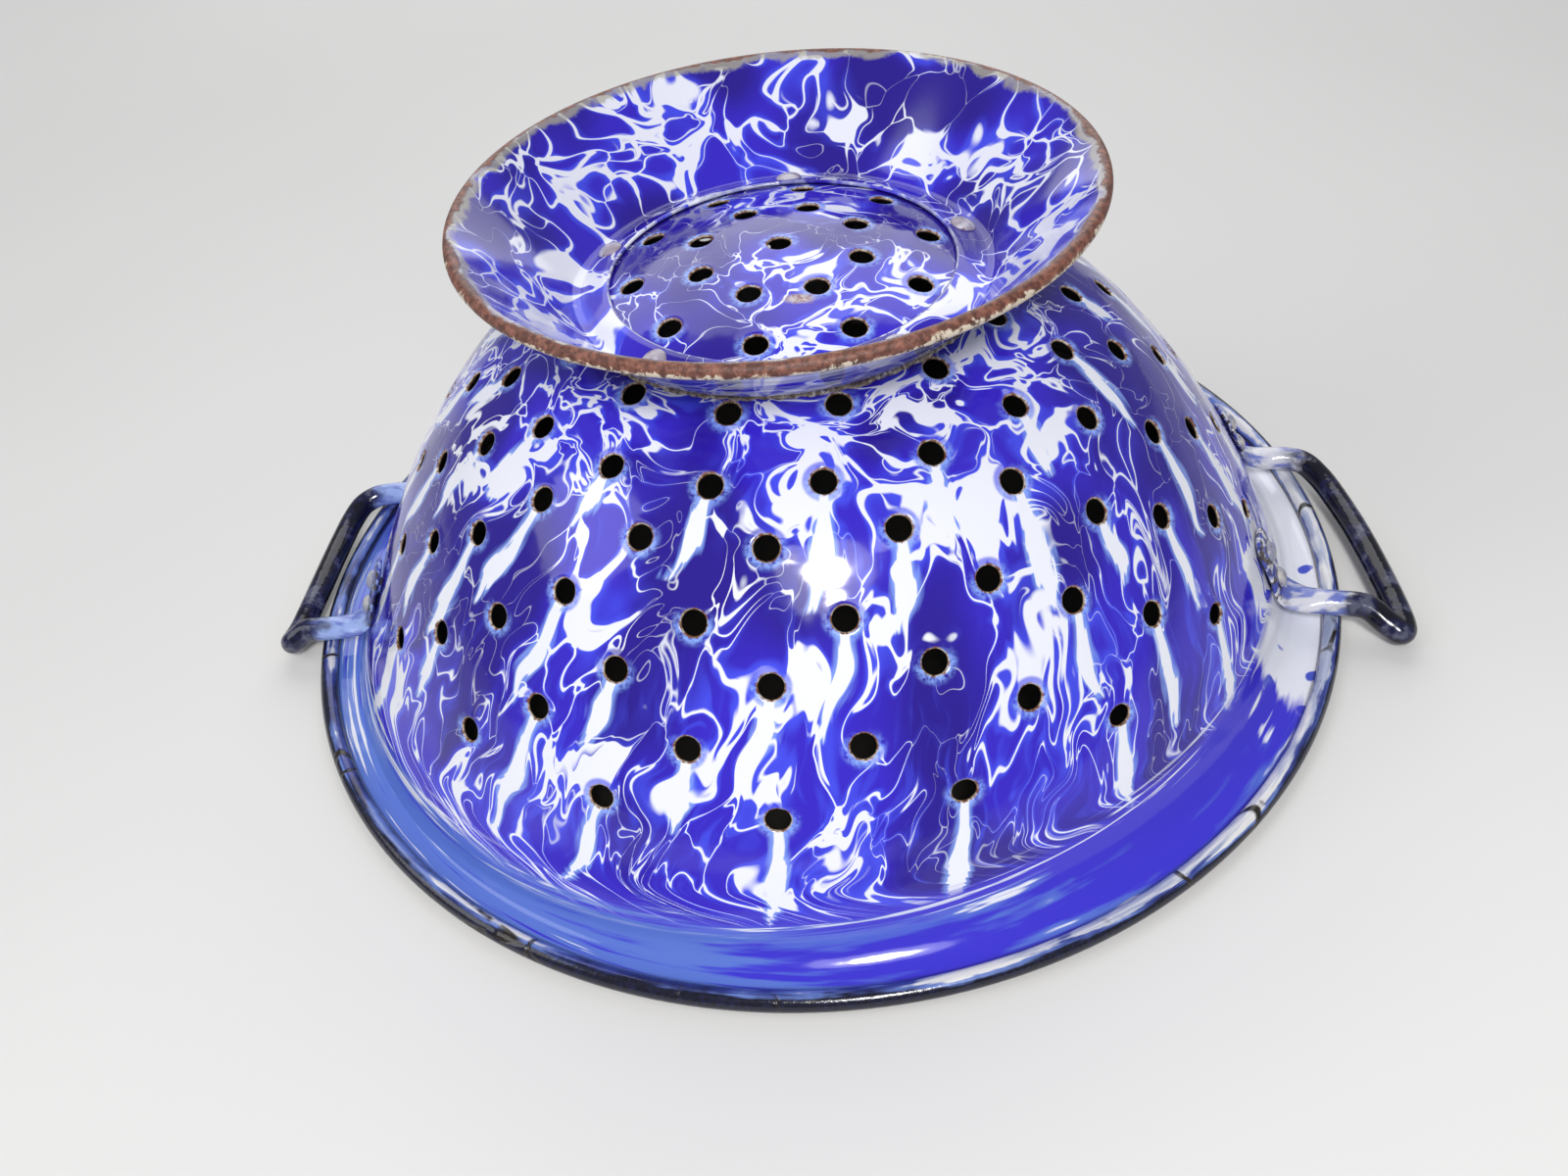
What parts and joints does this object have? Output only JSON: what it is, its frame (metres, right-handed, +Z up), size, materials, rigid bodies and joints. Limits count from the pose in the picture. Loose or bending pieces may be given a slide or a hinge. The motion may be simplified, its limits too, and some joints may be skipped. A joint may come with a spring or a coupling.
{
  "type": "colander",
  "caption": "Perforated enamelled bowl standing upside down on its rolled rim, with a flared foot ring on top and riveted wire loop handles.",
  "frame": {"origin": "centre of the rim's plane, where the upside-down colander rests on its rim", "axes": "+Z up, from the rim to the foot; +X through the middle of one handle, the other handle on -X"},
  "size_m": [0.2865, 0.2668, 0.1117],
  "materials": {
    "bowl_enamel": "glossy swirled vitreous enamel over sheet steel",
    "rim_wire_steel": "bare drawn wire, dulled",
    "foot_enamel": "glossy swirled vitreous enamel over sheet steel",
    "handle_enamel": "glossy near-black vitreous enamel over steel rod",
    "foot_rivet_enamel": "enamelled rivet head, worn",
    "ear_rivet_enamel": "enamelled rivet head, worn"
  },
  "bodies": {
    "root": {"bowl": "bowl_enamel", "rim_wire": "rim_wire_steel", "foot": "foot_enamel", "handle_right": "handle_enamel", "handle_left": "handle_enamel", "foot_rivet_1": "foot_rivet_enamel", "foot_rivet_2": "foot_rivet_enamel", "foot_rivet_3": "foot_rivet_enamel", "foot_rivet_4": "foot_rivet_enamel", "foot_rivet_5": "foot_rivet_enamel", "ear_rivet_right_1": "ear_rivet_enamel", "ear_rivet_right_2": "ear_rivet_enamel", "ear_rivet_right_3": "ear_rivet_enamel", "ear_rivet_right_4": "ear_rivet_enamel", "ear_rivet_left_1": "ear_rivet_enamel", "ear_rivet_left_2": "ear_rivet_enamel", "ear_rivet_left_3": "ear_rivet_enamel", "ear_rivet_left_4": "ear_rivet_enamel"}
  },
  "joints": []
}
